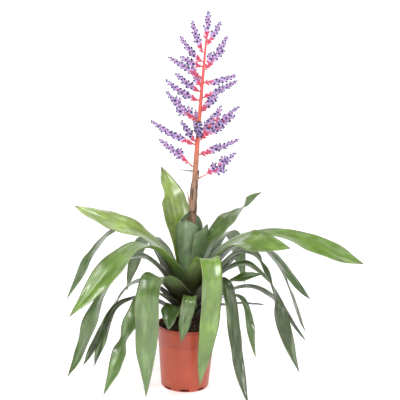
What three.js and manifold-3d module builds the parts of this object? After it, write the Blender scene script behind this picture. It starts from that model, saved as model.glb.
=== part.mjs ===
// A potted bromeliad: a nest of strap leaves round a short crown, a tall flower stem with its
// flower branches, and the grower's pot of soil that it stands in.
// Millimetres, +Z up. The origin is the centre of the pot's foot; +X is to the right and -Y is the
// front, which the leaning flower stem and the fullest leaves were chosen for.
import * as THREE from "three";
import { mergeVertices } from "three/addons/utils/BufferGeometryUtils.js";
import Module from "manifold-3d";

const wasm = await Module();
wasm.setup();

// ---------------------------------------------------------------- driving dimensions

const CLEARANCE = 0.35; // between pieces that touch

const pot = {
  height: 128,
  rimRadius: 60, // outside, over the rim band
  footRadius: 47.5,
  wall: 1.6,
  floor: 2.4,
  bandHeight: 6, // collar round the rim
  bandProud: 1.2,
  ledgeBelowRim: 35, // stacking ledge, where the wall steps in
  ledgeStep: 0.6,
  heelRadius: 6, // rounding between wall and floor
  slots: 8, // drainage slots through the heel
  slotWidth: 18,
  slotHeight: 4,
  slotSill: 2.6, // height of a slot's lower edge
  sides: 48,
};

const soil = { belowRim: 7, mound: 30 };

const crown = {
  radius: 25, // where the outermost leaf sits
  tipRadius: 9.5, // top end, which carries the flower stem
  height: 50, // above the soil round it
  rootRadius: 8,
  rootDepth: 55,
  sides: 24, // half the pot's, so that both meet the soil corner to corner
};

const stem = {
  baseRadius: 7.2,
  collarRadius: 6.2, // where it leaves the leaves
  topRadius: 1.7,
  bareLength: 150, // from the crown up to the collar
  flowerLength: 339, // from the collar up, which the branches are spread along
  lean: 20, // sideways shift of the top, towards +X
  sides: 10,
  rings: 16,
};

const leafShape = {
  thickness: 1.5,
  sheathHalfAngle: 40, // of the circle round the crown that a sheath covers, each way
  channel: 24, // half angle of the blade's trough, degrees
  tipChannel: 9,
  waist: 1, // width just above the sheath, as a share of the blade's
  taperFrom: 0.58, // where the blade starts to narrow, as a share of its length
  rings: 14,
};

const branchShape = { stalk: 1.1, scallop: 0.72, rings: 9, sides: 8 };

const bractShape = { thickness: 0.8, rings: 8 };

const topBranch = { length: 50, width: 11 };

// ---------------------------------------------------------------- small helpers

const { sin, cos, PI, min, max, hypot } = Math;
const rad = THREE.MathUtils.degToRad;
const mix = THREE.MathUtils.lerp;
const smooth = THREE.MathUtils.smoothstep;
const UP = new THREE.Vector3(0, 0, 1);

const outward = (azimuth) => new THREE.Vector3(cos(rad(azimuth)), sin(rad(azimuth)), 0);
const rightOf = (azimuth) => new THREE.Vector3(sin(rad(azimuth)), -cos(rad(azimuth)), 0);

/** Value of an evenly spaced list at share t of its length, eased between entries. */
function along(list, t) {
  const place = THREE.MathUtils.clamp(t, 0, 1) * (list.length - 1);
  const i = min(Math.floor(place), list.length - 2);
  return mix(list[i], list[i + 1], smooth(place - i, 0, 1));
}

/**
 * One closed mesh through rings of points, with a cap at its start and a point at its tip. The
 * halves of a ring are split along opposite diagonals, which keeps the two faces of a thin twisted
 * blade parallel.
 */
function loft(rings, tip, capOf) {
  const n = rings[0].length;
  const points = rings.flat();
  const faces = [];
  for (let i = 0; i + 1 < rings.length; i++)
    for (let j = 0; j < n; j++) {
      const a = i * n + j;
      const b = i * n + ((j + 1) % n);
      if (j < n / 2) faces.push(a, b, b + n, a, b + n, a + n);
      else faces.push(a, b, a + n, b, b + n, a + n);
    }
  for (const [a, b, c] of capOf(n)) faces.push(c, b, a);
  const last = (rings.length - 1) * n;
  points.push(tip);
  for (let j = 0; j < n; j++) faces.push(last + j, last + ((j + 1) % n), points.length - 1);
  const geometry = new THREE.BufferGeometry().setFromPoints(points);
  geometry.setIndex(faces);
  return geometry;
}

/** Cap of a convex ring: a fan. */
const fanCap = (n) => Array.from({ length: n - 2 }, (_, i) => [0, i + 1, i + 2]);

/** Cap of a crescent ring, whose second half runs back along the first. */
function stripCap(n) {
  const half = n / 2;
  const faces = [[0, 1, n - 1]];
  for (let i = 1; i < half - 1; i++) {
    faces.push([i, i + 1, n - i - 1]);
    faces.push([i, n - i - 1, n - i]);
  }
  faces.push([half - 1, half, half + 1]);
  return faces;
}

/** A geometry as a manifold-3d solid. */
function solidOf(geometry) {
  const bare = geometry.clone();
  bare.deleteAttribute("normal");
  bare.deleteAttribute("uv");
  const merged = mergeVertices(bare, 1e-3);
  return new wasm.Manifold(
    new wasm.Mesh({
      numProp: 3,
      vertProperties: new Float32Array(merged.attributes.position.array),
      triVerts: new Uint32Array(merged.index.array),
    }),
  );
}

function geometryOf(solid) {
  const mesh = solid.getMesh();
  return new THREE.BufferGeometry()
    .setAttribute("position", new THREE.BufferAttribute(mesh.vertProperties, 3))
    .setIndex(new THREE.BufferAttribute(mesh.triVerts, 1));
}

/** A turned body: profile of [radius, height] pairs, from the axis round to the axis. */
function turned(profile, sides) {
  const geometry = new THREE.LatheGeometry(
    profile.map(([r, z]) => new THREE.Vector2(r, z)),
    sides,
  );
  return geometry.rotateX(PI / 2);
}

const plant = new THREE.Group();

function add(name, geometry, [color, roughness]) {
  const material = new THREE.MeshStandardMaterial({ color, roughness, metalness: 0 });
  const mesh = new THREE.Mesh(geometry, material);
  mesh.name = name;
  plant.add(mesh);
}

const finishes = {
  // colour and roughness
  pot: [0xb9583b, 0.45],
  soil: [0x2a1d18, 0.95],
  crown: [0x5a5a34, 0.8],
  leaf: [0x5c9140, 0.35],
  stem: [0xe2705a, 0.5],
  bract: [0xb98268, 0.7],
  flower: [0xa583c6, 0.45],
};

// ---------------------------------------------------------------- pot and soil

/** Outside radius of the pot's wall at a height, without band and heel. */
function wallRadius(z) {
  const taper = (pot.rimRadius - pot.bandProud - pot.footRadius) / pot.height;
  const step = z < pot.height - pot.ledgeBelowRim ? pot.ledgeStep : 0;
  return pot.footRadius + taper * z - step;
}

/** Quarter round from the floor to the wall, of radius heel, for the wall's radius r at its top. */
function heelArc(r, bottom, heel, steps) {
  return Array.from({ length: steps + 1 }, (_, i) => {
    const turn = (i / steps) * (PI / 2);
    return [r - heel + heel * sin(turn), bottom + heel * (1 - cos(turn))];
  });
}

function potGeometry() {
  const { height, wall, floor, bandHeight, heelRadius } = pot;
  const ledge = height - pot.ledgeBelowRim;
  const innerHeel = heelRadius - wall;
  const profile = [
    [0, floor],
    ...heelArc(wallRadius(heelRadius) - wall, floor, innerHeel, 3),
    [wallRadius(ledge - 1) - wall, ledge - 1],
    [wallRadius(ledge) - wall, ledge],
    [wallRadius(height) - wall, height],
    [pot.rimRadius, height],
    [pot.rimRadius, height - bandHeight],
    [wallRadius(height - bandHeight), height - bandHeight],
    [wallRadius(ledge), ledge],
    [wallRadius(ledge - 1), ledge - 1],
    ...heelArc(wallRadius(heelRadius), 0, heelRadius, 4).reverse(),
    [0, 0],
  ].reverse();
  let body = solidOf(turned(profile, pot.sides));
  for (let i = 0; i < pot.slots; i++) {
    const cut = new THREE.BoxGeometry(4 * heelRadius, pot.slotWidth, pot.slotHeight);
    cut.translate(pot.footRadius, 0, pot.slotSill + pot.slotHeight / 2);
    cut.rotateZ((i / pot.slots) * 2 * PI - PI / 2);
    body = body.subtract(solidOf(cut));
  }
  return geometryOf(body);
}

/** Height of the soil's surface at a distance from the axis. */
function soilHeight(r) {
  const edge = wallRadius(pot.height - soil.belowRim);
  return pot.height - soil.belowRim + soil.mound * (1 - (r / edge) ** 2);
}

/** Radius of the crown's buried end at a height, which the soil's hole follows. */
const rootProfile = () => {
  const top = soilHeight(crown.radius);
  return [
    [crown.rootRadius, top - crown.rootDepth],
    [mix(crown.rootRadius, crown.radius, 0.35), top - crown.rootDepth * 0.4],
    [crown.radius, top],
  ];
};

function soilGeometry() {
  const gap = CLEARANCE;
  const { heelRadius, floor, wall } = pot;
  const bottom = floor + gap;
  const ledge = pot.height - pot.ledgeBelowRim;
  const inner = (z) => wallRadius(z) - wall - gap;
  const edge = inner(pot.height - soil.belowRim);
  const root = rootProfile();
  const profile = [
    [0, bottom],
    ...heelArc(inner(heelRadius), bottom, heelRadius - wall, 3),
    [inner(ledge - 1), ledge - 1 + gap],
    [inner(ledge), ledge + gap],
    [edge, pot.height - soil.belowRim],
    [mix(edge, crown.radius, 0.5), soilHeight(mix(edge, crown.radius, 0.5))],
    [crown.radius + gap, root[2][1]],
    [root[1][0] + gap, root[1][1]],
    [root[0][0] + gap, root[0][1] - gap],
    [0, root[0][1] - gap],
  ];
  return turned(profile, pot.sides);
}

// ---------------------------------------------------------------- crown and flower stem

/** Where leaf number rank of count sits on the crown's cone: its radius and height. */
function seat(rank, count) {
  const share = rank / (count - 1);
  const top = soilHeight(crown.radius) + crown.height;
  return {
    radius: mix(crown.tipRadius, crown.radius, share),
    height: mix(top, soilHeight(crown.radius), share),
  };
}

const crownTop = seat(0, 2).height;

/** From a seat to the middle of the sheath on it, square to the crown's side: [reach, height]. */
function seatOffset() {
  const inward = crown.radius - crown.tipRadius;
  const scale = (leafShape.thickness / 2 + CLEARANCE) / hypot(crown.height, inward);
  return [crown.height * scale, inward * scale];
}

function crownGeometry() {
  const root = rootProfile();
  return turned(
    [
      [0, root[0][1]],
      ...root,
      [crown.tipRadius, crownTop],
      [0, crownTop],
    ],
    crown.sides,
  );
}

const collarHeight = crownTop + stem.bareLength;
const stemTop = collarHeight + stem.flowerLength;

/** Centre line of the flower stem. It leaves the crown upright and leans more towards its top. */
const stemLine = new THREE.CatmullRomCurve3([
  new THREE.Vector3(0, 0, crownTop + CLEARANCE),
  new THREE.Vector3(stem.lean * 0.1, 0, mix(crownTop, collarHeight, 0.6)),
  new THREE.Vector3(stem.lean * 0.22, 0, collarHeight),
  new THREE.Vector3(stem.lean * 0.55, 0, mix(collarHeight, stemTop, 0.5)),
  new THREE.Vector3(stem.lean, 0, stemTop),
]);

/** Point of the stem's centre line at a height, and its radius there. */
function stemAt(z) {
  let low = 0;
  let high = 1;
  for (let i = 0; i < 30; i++) {
    const half = (low + high) / 2;
    if (stemLine.getPoint(half).z < z) low = half;
    else high = half;
  }
  return { point: stemLine.getPoint(low), radius: stemRadius(z) };
}

function stemRadius(z) {
  if (z < collarHeight)
    return mix(stem.baseRadius, stem.collarRadius, (z - crownTop) / (collarHeight - crownTop));
  const share = (z - collarHeight) / (stemTop - collarHeight);
  return mix(stem.collarRadius, stem.topRadius, share);
}

/** Ring of points round a centre, in the plane of two directions. */
function ring(centre, across, up, radiusAcross, radiusUp, sides) {
  return Array.from({ length: sides }, (_, j) => {
    const turn = (j / sides) * 2 * PI;
    return centre
      .clone()
      .addScaledVector(across, radiusAcross * cos(turn))
      .addScaledVector(up, radiusUp * sin(turn));
  });
}

function stemGeometry() {
  const across = new THREE.Vector3(1, 0, 0);
  const back = new THREE.Vector3(0, 1, 0);
  const rings = [];
  for (let i = 0; i < stem.rings; i++) {
    const centre = stemLine.getPointAt((0.999 * i) / (stem.rings - 1));
    const r = stemRadius(centre.z);
    rings.push(ring(centre, across, back, r, r, stem.sides));
  }
  return loft(rings, stemLine.getPointAt(1), fanCap);
}

// ---------------------------------------------------------------- leaves

/**
 * A strap leaf. arch holds the four [reach, height, sideways] points of its centre line: distance
 * from the plant's axis, height, and shift to the right as seen from the axis. roll turns the upper face towards
 * that right-hand side, in degrees, evenly spaced from the sheath's end to the tip.
 */
function bladeGeometry({ azimuth, arch, width, roll, taper, halfAngle, thickness, rings: count }) {
  const out = outward(azimuth);
  const right = rightOf(azimuth);
  const curve = new THREE.CubicBezierCurve3(
    ...arch.map(([reach, height, sideways]) =>
      new THREE.Vector3(0, 0, height).addScaledVector(out, reach).addScaledVector(right, sideways),
    ),
  );
  curve.arcLengthDivisions = 400;
  const sheath = rad(halfAngle);
  const rings = [];
  for (let i = 0; i < count; i++) {
    const s = (i / count) * 0.985;
    const centre = curve.getPointAt(s);
    const ahead = curve.getTangentAt(s);
    let side = right.clone().addScaledVector(ahead, -right.dot(ahead)).normalize();
    let face = side.clone().cross(ahead);
    const turn = rad(along([0, 0, ...roll], mix(-0.15, 1, s)));
    [side, face] = [
      side.clone().multiplyScalar(cos(turn)).addScaledVector(face, -sin(turn)),
      face.clone().multiplyScalar(cos(turn)).addScaledVector(side, sin(turn)),
    ];
    const fromAxis = hypot(centre.x, centre.y);
    const narrowing = max(0, (s - leafShape.taperFrom) / (1 - leafShape.taperFrom));
    const waist = mix(leafShape.waist, 1, smooth(s, 0.25, 0.5));
    const full = width * waist * (1 - narrowing ** taper);
    const wide = max(min(full, 2 * sheath * fromAxis), 1.2);
    const trough = rad(mix(leafShape.channel, leafShape.tipChannel, smooth(s, 0.4, 1)));
    const bend = max(trough, wide / (2 * fromAxis));
    const thick = (thickness / 2) * mix(1, 0.55, s);
    rings.push(crescent(centre, side, face, wide, bend, thick));
  }
  return loft(rings, curve.getPointAt(1), stripCap);
}

/** Ring of a trough-shaped section: left edge, upper face, right edge, then back underneath. */
function crescent(centre, side, face, wide, bend, thick) {
  const radius = wide / (2 * bend);
  const at = (share, offset) =>
    centre
      .clone()
      .addScaledVector(side, (radius - offset) * sin(share * bend))
      .addScaledVector(face, radius - (radius - offset) * cos(share * bend));
  return [
    at(-1, 0),
    ...[-0.5, 0, 0.5].map((share) => at(share, thick)),
    at(1, 0),
    ...[0.5, 0, -0.5].map((share) => at(share, -thick)),
  ];
}

// Leaves from the innermost out, each one arch. It leaves its seat at the slope rise and is carried
// up by lift; it ends at tip, [reach, height, sideways] from the seat, at the slope fall, and drop is
// how far back from the tip that slope is felt. Slopes are in degrees.
const leaves = [
  { name: "leaf_vase_back", azimuth: 84, width: 50, roll: [0, 0], taper: 3,
    rise: 80, lift: 50, tip: [22, 155], fall: 83, drop: 50 },
  { name: "leaf_vase_front", azimuth: 254, width: 62, roll: [0, 0], taper: 2.4,
    rise: 81, lift: 50, tip: [17, 150], fall: 88, drop: 50 },
  { name: "leaf_vase_right", azimuth: 336, width: 58, roll: [0, 0], taper: 4,
    rise: 80, lift: 50, tip: [27, 142], fall: 80, drop: 50 },
  { name: "leaf_upright", azimuth: 124, width: 72, roll: [0, 0, -20, -20], taper: 1.3,
    rise: 79, lift: 110, tip: [80, 240, -12], fall: 50, drop: 60 },
  { name: "leaf_curled", azimuth: 35, width: 36, roll: [0, 20, 20, -10, -80, -80], taper: 2.6,
    rise: 77, lift: 120, tip: [165, 190], fall: 25, drop: 90 },
  { name: "leaf_high_left", azimuth: 178, width: 44, roll: [-10, -50, -50, -50],
    rise: 74, lift: 150, tip: [215, 170], fall: 25, drop: 110 },
  { name: "leaf_long_right", azimuth: 9, width: 44, roll: [0, 20, 50, 60, 50], taper: 3.4,
    rise: 70, lift: 205, tip: [345, 60], fall: -22, drop: 150 },
  { name: "leaf_low_left", azimuth: 212, width: 52, roll: [0, -30, -30, -30],
    rise: 70, lift: 220, tip: [245, -10], fall: -42, drop: 120 },
  { name: "leaf_right", azimuth: 330, width: 48, roll: [0, 0, 50, 50, 40], taper: 2.6,
    rise: 65, lift: 180, tip: [205, 130], fall: 0, drop: 90 },
  { name: "leaf_far_left", azimuth: 156, width: 34, roll: [0, -30, -70, -70],
    rise: 64, lift: 260, tip: [260, -45], fall: -63, drop: 150 },
  { name: "leaf_front_right", azimuth: 291, width: 42, roll: [0, 0, 0],
    rise: 62, lift: 290, tip: [65, -155], fall: -112, drop: 150 },
  { name: "leaf_down_right", azimuth: 20, width: 38, roll: [0, 30, 60, 60],
    rise: 64, lift: 225, tip: [255, -20], fall: -45, drop: 130 },
  { name: "leaf_broad_left", azimuth: 193, width: 48, roll: [0, 0, -30, -30, -20],
    rise: 62, lift: 245, tip: [220, -150], fall: -65, drop: 160 },
  { name: "leaf_back", azimuth: 92, width: 42, roll: [0, 0, 10],
    rise: 59, lift: 240, tip: [250, 5], fall: -65, drop: 130 },
  { name: "leaf_twisted_right", azimuth: 338, width: 36, roll: [0, -40, 0, 50, 55, 50],
    rise: 60, lift: 275, tip: [220, -110], fall: -65, drop: 190 },
  { name: "leaf_back_right", azimuth: 62, width: 40, roll: [0, 0, 0],
    rise: 56, lift: 260, tip: [245, -20], fall: -65, drop: 120 },
  { name: "leaf_front_left", azimuth: 238, width: 52, roll: [0, -5, 0],
    rise: 50, lift: 225, tip: [120, -155], fall: -88, drop: 180 },
  { name: "leaf_short_right", azimuth: 8, width: 28, roll: [0, 30, 40],
    rise: 57, lift: 145, tip: [155, 35], fall: -48, drop: 60 },
  { name: "leaf_back_left", azimuth: 124, width: 40, roll: [0, 0, -10],
    rise: 54, lift: 245, tip: [215, -30], fall: -65, drop: 110 },
  { name: "leaf_trailing", azimuth: 309, width: 32, roll: [0, 0, 30, 0],
    rise: 55, lift: 225, tip: [175, -150], fall: -58, drop: 160 },
  { name: "leaf_dark_left", azimuth: 180, width: 30, roll: [0, -30, -50, -50],
    rise: 48, lift: 145, tip: [185, -130], fall: -62, drop: 170 },
  { name: "leaf_thin_right", azimuth: 38, width: 26, roll: [0, 20, 60, 60],
    rise: 50, lift: 300, tip: [310, -110], fall: -58, drop: 160 },
  { name: "leaf_strap_left", azimuth: 216, width: 34, roll: [0, -30, 20, -30, -60, -70],
    rise: 45, lift: 150, tip: [170, -145], fall: -62, drop: 170 },
  { name: "leaf_lower_right", azimuth: 348, width: 24, roll: [0, 40, 50],
    rise: 52, lift: 90, tip: [130, 85], fall: 8, drop: 40 },
  { name: "leaf_low_back", azimuth: 92, width: 36, roll: [0, 0],
    rise: 47, lift: 180, tip: [205, -25], fall: -62, drop: 90 },
  { name: "leaf_small_front", azimuth: 276, width: 28, roll: [0, 0],
    rise: 52, lift: 140, tip: [60, -40, 18], fall: -85, drop: 60 },
  { name: "leaf_arched_right", azimuth: 352, width: 26, roll: [0, 20, 20],
    rise: 44, lift: 175, tip: [215, -45], fall: -50, drop: 100 },
  { name: "leaf_narrow_left", azimuth: 194, width: 26, roll: [0, -20, -50, -50],
    rise: 38, lift: 130, tip: [160, -105], fall: -78, drop: 110 },
  { name: "leaf_ribbon_right", azimuth: 328, width: 20, roll: [0, 20, 60, 30],
    rise: 45, lift: 180, tip: [135, -60], fall: -68, drop: 70 },
  { name: "leaf_small_left", azimuth: 246, width: 38, roll: [0, -10],
    rise: 48, lift: 95, tip: [60, -10], fall: -66, drop: 20 },
  { name: "leaf_flat_right", azimuth: 22, width: 18, roll: [0, 0],
    rise: 30, lift: 50, tip: [145, 8], fall: -8, drop: 40 },
];

/** The four points of a leaf's arch, as [reach, height, sideways] from its seat. */
function archOf({ rise, lift, tip, fall, drop }) {
  const [reach, height, sideways = 0] = tip;
  const start = seatOffset();
  return [
    [...start, 0],
    [start[0] + lift * cos(rad(rise)), start[1] + lift * sin(rad(rise)), 0],
    [reach - drop * cos(rad(fall)), height - drop * sin(rad(fall)), sideways / 2],
    [reach, height, sideways],
  ];
}

leaves.forEach((leaf, rank) => {
  const { name, azimuth, width, roll, taper = 1.9 } = leaf;
  const { radius, height } = seat(rank, leaves.length);
  const arch = archOf(leaf).map(([reach, up, sideways]) => [radius + reach, height + up, sideways]);
  const geometry = bladeGeometry({
    azimuth,
    width,
    roll,
    taper,
    arch,
    halfAngle: leafShape.sheathHalfAngle,
    thickness: leafShape.thickness,
    rings: leafShape.rings,
  });
  add(name, geometry, finishes.leaf);
});

// ---------------------------------------------------------------- flower branches

/**
 * A flower branch: a bare stalk, then a spindle that widens and narrows with each row of flowers.
 * rise is its slope in degrees at the stem and at its tip; spread and depth are its greatest height
 * and thickness across the line it grows along. at is how far above the collar it starts. at, length,
 * spread and depth are in thousandths of the stem's flowering length.
 */
function branchGeometry({ at, azimuth, rise, length, bare, spread, depth }) {
  const unit = stem.flowerLength / 1000;
  const { point, radius } = stemAt(collarHeight + at * unit);
  const out = outward(azimuth);
  const right = rightOf(azimuth);
  const start = radius + CLEARANCE + branchShape.stalk * sin(rad(rise[0]));
  const centre = point.clone().addScaledVector(out, start);
  const rings = [];
  const step = (length * unit) / branchShape.rings;
  for (let i = 0; i < branchShape.rings; i++) {
    const share = i / branchShape.rings;
    const slope = rad(mix(rise[0], rise[1], share));
    const ahead = out.clone().multiplyScalar(cos(slope)).addScaledVector(UP, sin(slope));
    const up = ahead.clone().cross(right).negate();
    const bloom = max(0, (share - bare) / (1 - bare));
    const swell = bloom > 0 ? sin(PI * bloom ** 0.62) ** 0.7 : 0;
    const wave = i % 2 ? 1 : branchShape.scallop;
    const tall = max(branchShape.stalk, ((spread * unit) / 2) * swell * wave);
    const deep = max(branchShape.stalk, ((depth * unit) / 2) * swell * wave);
    rings.push(ring(centre, up, right, tall, deep, branchShape.sides));
    centre.addScaledVector(ahead, step);
  }
  return loft(rings, centre, fanCap);
}

const branches = [
  { name: "branch_01", at: 220, azimuth: 345, rise: [28, 48], length: 255,
    bare: 0.4, spread: 70, depth: 35 },
  { name: "branch_02", at: 285, azimuth: 160, rise: [36, 32], length: 240,
    bare: 0.25, spread: 55, depth: 35 },
  { name: "branch_03", at: 355, azimuth: 25, rise: [14, 22], length: 250,
    bare: 0.2, spread: 50, depth: 35 },
  { name: "branch_04", at: 415, azimuth: 200, rise: [20, 36], length: 285,
    bare: 0.2, spread: 45, depth: 35 },
  { name: "branch_05", at: 440, azimuth: 340, rise: [50, 34], length: 290,
    bare: 0.1, spread: 100, depth: 40 },
  { name: "branch_06", at: 430, azimuth: 230, rise: [40, 50], length: 170,
    bare: 0.15, spread: 45, depth: 40 },
  { name: "branch_07", at: 480, azimuth: 270, rise: [15, 40], length: 170,
    bare: 0.1, spread: 65, depth: 60 },
  { name: "branch_08", at: 550, azimuth: 160, rise: [32, 46], length: 230,
    bare: 0.1, spread: 65, depth: 35 },
  { name: "branch_09", at: 610, azimuth: 320, rise: [38, 55], length: 165,
    bare: 0.1, spread: 55, depth: 40 },
  { name: "branch_10", at: 665, azimuth: 205, rise: [20, 40], length: 225,
    bare: 0.15, spread: 35, depth: 30 },
  { name: "branch_11", at: 680, azimuth: 25, rise: [20, 28], length: 220,
    bare: 0.15, spread: 35, depth: 30 },
  { name: "branch_12", at: 715, azimuth: 215, rise: [25, 40], length: 185,
    bare: 0.1, spread: 45, depth: 40 },
  { name: "branch_13", at: 765, azimuth: 335, rise: [6, 26], length: 185,
    bare: 0.15, spread: 35, depth: 30 },
  { name: "branch_14", at: 795, azimuth: 155, rise: [24, 28], length: 215,
    bare: 0.1, spread: 35, depth: 30 },
  { name: "branch_15", at: 835, azimuth: 20, rise: [56, 56], length: 215,
    bare: 0.1, spread: 60, depth: 40 },
  { name: "branch_16", at: 880, azimuth: 200, rise: [35, 58], length: 185,
    bare: 0.1, spread: 35, depth: 30 },
  { name: "branch_17", at: 930, azimuth: 165, rise: [60, 78], length: 175,
    bare: 0.1, spread: 40, depth: 35 },
  { name: "branch_18", at: 975, azimuth: 350, rise: [58, 66], length: 135,
    bare: 0.1, spread: 30, depth: 30 },
  { name: "branch_19", at: 465, azimuth: 95, rise: [25, 42], length: 205,
    bare: 0.15, spread: 45, depth: 40 },
  { name: "branch_20", at: 600, azimuth: 60, rise: [25, 42], length: 190,
    bare: 0.15, spread: 45, depth: 40 },
  { name: "branch_21", at: 740, azimuth: 110, rise: [25, 42], length: 185,
    bare: 0.15, spread: 40, depth: 35 },
  { name: "branch_22", at: 855, azimuth: 205, rise: [14, 30], length: 135,
    bare: 0.1, spread: 35, depth: 30 },
];

for (const branch of branches) add(branch.name, branchGeometry(branch), finishes.flower);

/** The stem's last flowers, straight on from its top. */
function topBranchGeometry() {
  const ahead = stemLine.getTangentAt(1);
  const right = new THREE.Vector3(0, 1, 0);
  const up = ahead.clone().cross(right).negate();
  const centre = stemLine.getPointAt(1).addScaledVector(ahead, CLEARANCE);
  const rings = [];
  for (let i = 0; i < branchShape.rings; i++) {
    const share = i / branchShape.rings;
    const swell = sin(PI * mix(0.12, 1, share ** 0.62)) ** 0.7;
    const r = max(branchShape.stalk, (topBranch.width / 2) * swell * (i % 2 ? 1 : branchShape.scallop));
    rings.push(ring(centre, up, right, r, r, branchShape.sides));
    centre.addScaledVector(ahead, topBranch.length / branchShape.rings);
  }
  return loft(rings, centre, fanCap);
}

add("branch_top", topBranchGeometry(), finishes.flower);

// ---------------------------------------------------------------- bracts on the stem

/**
 * A small papery leaf on the flower stem; rise is its slope where it starts and at its tip. at,
 * length and width are in thousandths of the flowering length, as for the branches.
 */
function bractGeometry({ at, azimuth, rise, length, width }) {
  const unit = stem.flowerLength / 1000;
  const { point, radius } = stemAt(collarHeight + at * unit);
  const out = outward(azimuth);
  const right = rightOf(azimuth);
  const { thickness, rings: count } = bractShape;
  const wraps = sin(rad(rise[0]));
  const start = radius + CLEARANCE + wraps * (thickness / 2 + 0.4);
  const centre = point.clone().addScaledVector(out, start);
  const rings = [];
  for (let i = 0; i < count; i++) {
    const share = i / count;
    const slope = rad(mix(rise[0], rise[1], share));
    const ahead = out.clone().multiplyScalar(cos(slope)).addScaledVector(UP, sin(slope));
    const face = right.clone().cross(ahead);
    const wide = width * unit * (1 - share ** 1.6);
    const bend = max(0.15, (wraps * wide) / (2 * start));
    rings.push(crescent(centre, right, face, wide, bend, (thickness / 2) * mix(1, 0.6, share)));
    centre.addScaledVector(ahead, (length * unit) / count);
  }
  return loft(rings, centre, stripCap);
}

const bracts = [
  { name: "bract_papery", at: 30, azimuth: 200, rise: [86, 76], length: 135, width: 35 },
  { name: "bract_dry", at: 260, azimuth: 180, rise: [2, 14], length: 90, width: 15 },
];

for (const bract of bracts) add(bract.name, bractGeometry(bract), finishes.bract);

// ---------------------------------------------------------------- the rest

add("pot", potGeometry(), finishes.pot);
add("soil", soilGeometry(), finishes.soil);
add("crown", crownGeometry(), finishes.crown);
add("flower_stem", stemGeometry(), finishes.stem);

export default plant;
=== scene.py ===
"""Looks of the potted bromeliad: fine leaves, flowers, stem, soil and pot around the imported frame."""

import math
import random

import bpy
import numpy as np
from mathutils import Matrix, Vector, noise


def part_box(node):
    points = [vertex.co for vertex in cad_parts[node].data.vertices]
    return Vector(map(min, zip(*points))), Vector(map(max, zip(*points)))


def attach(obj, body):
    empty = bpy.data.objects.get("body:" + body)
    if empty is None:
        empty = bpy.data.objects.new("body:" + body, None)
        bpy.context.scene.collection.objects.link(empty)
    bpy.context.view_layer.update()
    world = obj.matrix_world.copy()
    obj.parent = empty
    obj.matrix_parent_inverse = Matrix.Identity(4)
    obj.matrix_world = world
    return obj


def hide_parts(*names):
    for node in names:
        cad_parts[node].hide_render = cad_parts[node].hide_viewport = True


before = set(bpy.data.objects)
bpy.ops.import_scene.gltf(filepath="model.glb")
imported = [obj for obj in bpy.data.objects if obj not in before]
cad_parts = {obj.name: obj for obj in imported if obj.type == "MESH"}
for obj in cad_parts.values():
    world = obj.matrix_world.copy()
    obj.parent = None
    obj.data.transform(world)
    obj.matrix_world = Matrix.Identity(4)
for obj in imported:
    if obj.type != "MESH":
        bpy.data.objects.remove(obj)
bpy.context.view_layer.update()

MM = 0.001

# ---------------------------------------------------------------- camera

CAMERA_DISTANCE = 2.2
CAMERA_HEIGHT = 0.80
AIM_HEIGHT = 0.372
CAMERA_ROLL = math.radians(1.8)
LENS = 104.0
CAMERA_SHIFT = (0.024, 0.006)


def add_camera():
    """A long lens a little above the plant, looking slightly down."""
    dip = math.atan2(CAMERA_HEIGHT - AIM_HEIGHT, CAMERA_DISTANCE)
    forward = Vector((0, math.cos(dip), -math.sin(dip)))
    level = Vector((1, 0, 0))
    upright = level.cross(forward)
    right = level * math.cos(CAMERA_ROLL) + upright * math.sin(CAMERA_ROLL)
    up = upright * math.cos(CAMERA_ROLL) - level * math.sin(CAMERA_ROLL)
    data = bpy.data.cameras.new("camera")
    data.lens = LENS
    data.shift_x, data.shift_y = CAMERA_SHIFT
    data.clip_end = 20
    camera = bpy.data.objects.new("camera", data)
    bpy.context.scene.collection.objects.link(camera)
    turn = np.identity(4)
    turn[:3, 0] = right
    turn[:3, 1] = up
    turn[:3, 2] = -forward
    turn[:3, 3] = (0, -CAMERA_DISTANCE, CAMERA_HEIGHT)
    camera.matrix_world = Matrix(turn.tolist())
    bpy.context.scene.camera = camera


add_camera()

# ---------------------------------------------------------------- colours


def colour(red, green, blue):
    """A screen colour, 0 to 255, as the light values that shaders use."""
    shares = np.array([red, green, blue]) / 255
    return np.where(shares < 0.04045, shares / 12.92, ((shares + 0.055) / 1.055) ** 2.4)


def blend(a, b, share):
    share = np.clip(share, 0, 1)
    if np.ndim(share):
        share = np.asarray(share)[..., None]
    return np.asarray(a) * (1 - share) + np.asarray(b) * share


def smooth(share, start, end):
    """0 before start, 1 after end, and eased between."""
    place = np.clip((np.asarray(share, float) - start) / (end - start), 0, 1)
    return place * place * (3 - 2 * place)


# Leaf greens; where the deep and dark ones go on leaves at the back and underneath, they are partly painted
# shade
LEAF_TONES = {
    "bright": colour(102, 136, 38),
    "fresh": colour(78, 108, 34),
    "deep": colour(66, 92, 32),
    "dark": colour(50, 66, 26),
    "light": colour(134, 158, 70),
    "frosted": colour(98, 122, 84),
}
# Leaf feet: their own dull and brown colours, partly darkened as painted shade from the rosette round them
LEAF_FOOT = colour(66, 80, 58)
LEAF_FOOT_BROWN = colour(58, 46, 34)
LEAF_EDGE = colour(164, 158, 104)
LEAF_TIP = colour(98, 76, 54)
LEAF_BLOOM = colour(130, 142, 112)
LEAF_DUST = colour(176, 198, 150)

# ---------------------------------------------------------------- reading the frame


def corners_and_links(node):
    """The corner points of a CAD node, and for each the numbers of those it shares an edge with."""
    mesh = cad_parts[node].data
    numbers = {}
    merged = []
    for vertex in mesh.vertices:
        key = tuple(round(c, 6) for c in vertex.co)
        merged.append(numbers.setdefault(key, len(numbers)))
    links = [set() for _ in numbers]
    for edge in mesh.edges:
        a, b = (merged[v] for v in edge.vertices)
        if a != b:
            links[a].add(b)
            links[b].add(a)
    return np.array(list(numbers)), links


def levels_from(start, links):
    """Corners grouped by how many edges they are from start."""
    seen = {start}
    levels = [[start]]
    while levels[-1]:
        reached = sorted({n for c in levels[-1] for n in links[c]} - seen)
        seen.update(reached)
        levels.append(reached)
    return levels[:-1]


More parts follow.
